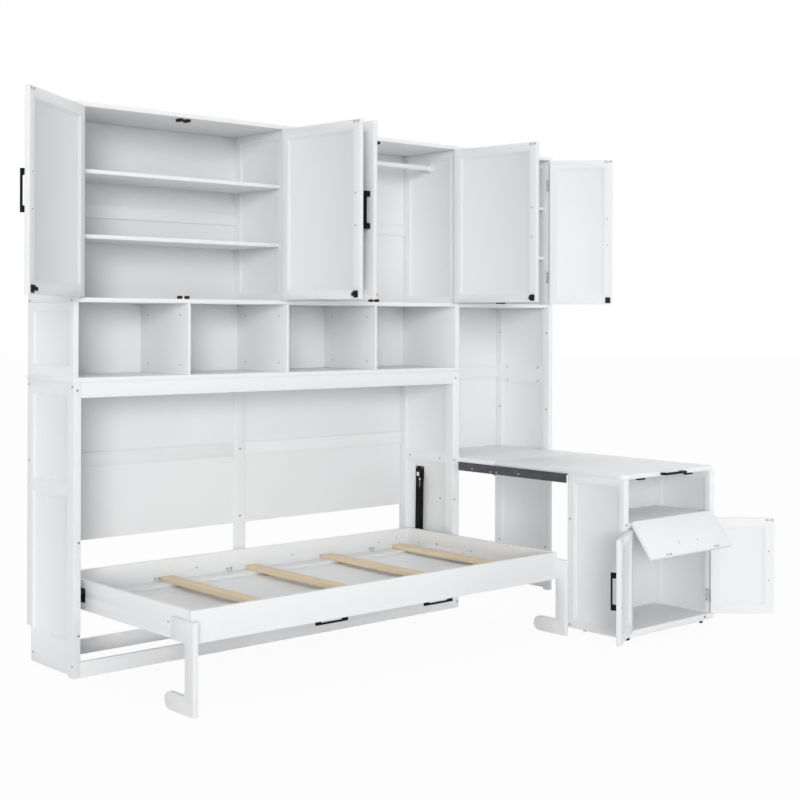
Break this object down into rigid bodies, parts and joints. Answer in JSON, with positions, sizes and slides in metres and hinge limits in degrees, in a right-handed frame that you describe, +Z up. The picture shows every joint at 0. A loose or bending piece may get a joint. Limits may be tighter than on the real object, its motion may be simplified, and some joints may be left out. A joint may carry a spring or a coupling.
{
  "type": "wall bed with storage and desk",
  "caption": "Sideways wall bed that folds into a low housing, under cubbies and wall cabinets, beside a tower with a swing-out desk on castors.",
  "frame": {"origin": "outer front corner of the left side's front foot, on the floor", "axes": "+X along the wall towards the tower, +Y towards the wall, +Z up"},
  "size_m": [3.3546, 1.6439, 2.281],
  "materials": {
    "painted_board": "satin white paint",
    "painted_tube": "satin white",
    "pine": "planed, bare",
    "black_metal": "satin black",
    "slate_steel": "satin slate",
    "bright_steel": "plated",
    "black_plastic": "matte"
  },
  "bodies": {
    "housing": {"side_left": "painted_board", "partition": "painted_board", "housing_top": "painted_board", "apron": "painted_board", "stretchers": "painted_board", "bay_back_frame": "painted_board", "bay_back_panels": "painted_board", "hutch_uprights": "painted_board", "hutch_back": "painted_board", "cabinet_sides": "painted_board", "cabinet_boards": "painted_board", "cabinet_backs": "painted_board", "cabinet_shelves": "painted_board", "tower_side": "painted_board", "tower_back": "painted_board", "desk_fixed": "painted_board", "clothes_rail": "painted_tube", "desk_angle_fixed": "slate_steel", "pivot_brackets": "slate_steel", "door_catches": "black_plastic"},
    "door_a_left": {"door_a_left": "painted_board", "pull_a_left": "black_metal"},
    "door_a_right": {"door_a_right": "painted_board", "pull_a_right": "black_metal"},
    "door_b_left": {"door_b_left": "painted_board", "pull_b_left": "black_metal"},
    "door_b_right": {"door_b_right": "painted_board", "pull_b_right": "black_metal"},
    "door_c_left": {"door_c_left": "painted_board", "pull_c_left": "black_metal"},
    "door_c_right": {"door_c_right": "painted_board", "pull_c_right": "black_metal"},
    "bed": {"bed_rails": "painted_board", "bed_panel": "painted_board", "bed_ledges": "painted_board", "bed_slats": "pine", "bed_hardware": "slate_steel", "bed_pulls": "black_metal"},
    "leg_left": {"leg_left": "painted_board"},
    "leg_right": {"leg_right": "painted_board"},
    "lift_cover_left": {"lift_cover_left": "black_metal"},
    "lift_rod_left": {"lift_rod_left": "bright_steel"},
    "lift_cover_right": {"lift_cover_right": "black_metal"},
    "lift_rod_right": {"lift_rod_right": "bright_steel"},
    "desk": {"desk_top": "painted_board", "desk_angle": "slate_steel", "pedestal_sides": "painted_board", "pedestal_boards": "painted_board", "desk_pull": "black_metal", "castor_brackets": "bright_steel"},
    "door_low_left": {"door_low_left": "painted_board", "pull_low_left": "black_metal"},
    "door_low_right": {"door_low_right": "painted_board", "pull_low_right": "black_metal"},
    "flap": {"flap": "painted_board", "pull_flap": "black_metal"},
    "wheel_1": {"wheel_1": "black_plastic"},
    "wheel_2": {"wheel_2": "black_plastic"},
    "wheel_3": {"wheel_3": "black_plastic"},
    "wheel_4": {"wheel_4": "black_plastic"}
  },
  "joints": [
    {"name": "bed_fold", "type": "hinge", "parent": "housing", "child": "bed", "pos_m": [1.055, 0.06, 0.312], "axis": [-1, 0, 0], "range_deg": [0, 90]},
    {"name": "leg_turn_left", "type": "hinge", "parent": "bed", "child": "leg_left", "pos_m": [0.068, -0.665, 0.3], "axis": [-1, 0, 0], "range_deg": [-90, 0]},
    {"name": "leg_turn_right", "type": "hinge", "parent": "bed", "child": "leg_right", "pos_m": [2.042, -0.665, 0.3], "axis": [-1, 0, 0], "range_deg": [-90, 0]},
    {"name": "lift_swing_left", "type": "hinge", "parent": "housing", "child": "lift_cover_left", "pos_m": [0.062, 0.22, 0.65], "axis": [-1, 0, 0], "range_deg": [0, 17.2]},
    {"name": "lift_stroke_left", "type": "slide", "parent": "lift_cover_left", "child": "lift_rod_left", "axis": [0, 0.0154, -0.9999], "range_m": [0, 0.199]},
    {"name": "lift_swing_right", "type": "hinge", "parent": "housing", "child": "lift_cover_right", "pos_m": [2.048, 0.22, 0.65], "axis": [-1, 0, 0], "range_deg": [0, 17.2]},
    {"name": "lift_stroke_right", "type": "slide", "parent": "lift_cover_right", "child": "lift_rod_right", "axis": [0, 0.0154, -0.9999], "range_m": [0, 0.199]},
    {"name": "hinge_a_left", "type": "hinge", "parent": "housing", "child": "door_a_left", "pos_m": [0.025, 0, 1.884], "axis": [0, 0, 1], "range_deg": [0, 141.5]},
    {"name": "hinge_a_right", "type": "hinge", "parent": "housing", "child": "door_a_right", "pos_m": [1.03, 0, 1.884], "axis": [0, 0, -1], "range_deg": [0, 94]},
    {"name": "hinge_b_left", "type": "hinge", "parent": "housing", "child": "door_b_left", "pos_m": [1.08, 0, 1.884], "axis": [0, 0, 1], "range_deg": [0, 85]},
    {"name": "hinge_b_right", "type": "hinge", "parent": "housing", "child": "door_b_right", "pos_m": [2.085, 0, 1.884], "axis": [0, 0, -1], "range_deg": [0, 97]},
    {"name": "hinge_c_left", "type": "hinge", "parent": "housing", "child": "door_c_left", "pos_m": [2.11, 0, 1.884], "axis": [0, 0, 1], "range_deg": [0, 80]},
    {"name": "hinge_c_right", "type": "hinge", "parent": "housing", "child": "door_c_right", "pos_m": [2.768, 0, 1.884], "axis": [0, 0, -1], "range_deg": [0, 130]},
    {"name": "desk_swing", "type": "hinge", "parent": "housing", "child": "desk", "pos_m": [2.112, -0.243, 0.7], "axis": [0, 0, -1], "range_deg": [0, 7]},
    {"name": "hinge_low_left", "type": "hinge", "parent": "desk", "child": "door_low_left", "pos_m": [2.15, -1.035, 0.274], "axis": [0, 0, 1], "range_deg": [-14, 12]},
    {"name": "hinge_low_right", "type": "hinge", "parent": "desk", "child": "door_low_right", "pos_m": [2.748, -1.035, 0.274], "axis": [0, 0, -1], "range_deg": [-27, 0]},
    {"name": "flap_fold", "type": "hinge", "parent": "desk", "child": "flap", "pos_m": [2.449, -1.037, 0.524], "axis": [-1, 0, 0], "range_deg": [0, 143]},
    {"name": "wheel_roll_1", "type": "hinge", "parent": "desk", "child": "wheel_1", "pos_m": [2.177, -1.005, 0.018], "axis": [0.085, -0.9964, 0], "continuous": true},
    {"name": "wheel_roll_2", "type": "hinge", "parent": "desk", "child": "wheel_2", "pos_m": [2.177, -0.765, 0.018], "axis": [0.1236, -0.9923, 0], "continuous": true},
    {"name": "wheel_roll_3", "type": "hinge", "parent": "desk", "child": "wheel_3", "pos_m": [2.721, -1.005, 0.018], "axis": [0.6243, -0.7812, 0], "continuous": true},
    {"name": "wheel_roll_4", "type": "hinge", "parent": "desk", "child": "wheel_4", "pos_m": [2.721, -0.765, 0.018], "axis": [0.7593, -0.6508, 0], "continuous": true}
  ],
  "couplings": [
    {"joint": "leg_turn_left", "follows": "bed_fold", "ratio": -1},
    {"joint": "lift_swing_left", "follows": "bed_fold", "ratio": 0.1907},
    {"joint": "lift_stroke_left", "follows": "bed_fold", "m_per_rad": 0.12665},
    {"joint": "leg_turn_right", "follows": "bed_fold", "ratio": -1},
    {"joint": "lift_swing_right", "follows": "bed_fold", "ratio": 0.1907},
    {"joint": "lift_stroke_right", "follows": "bed_fold", "m_per_rad": 0.12665}
  ]
}
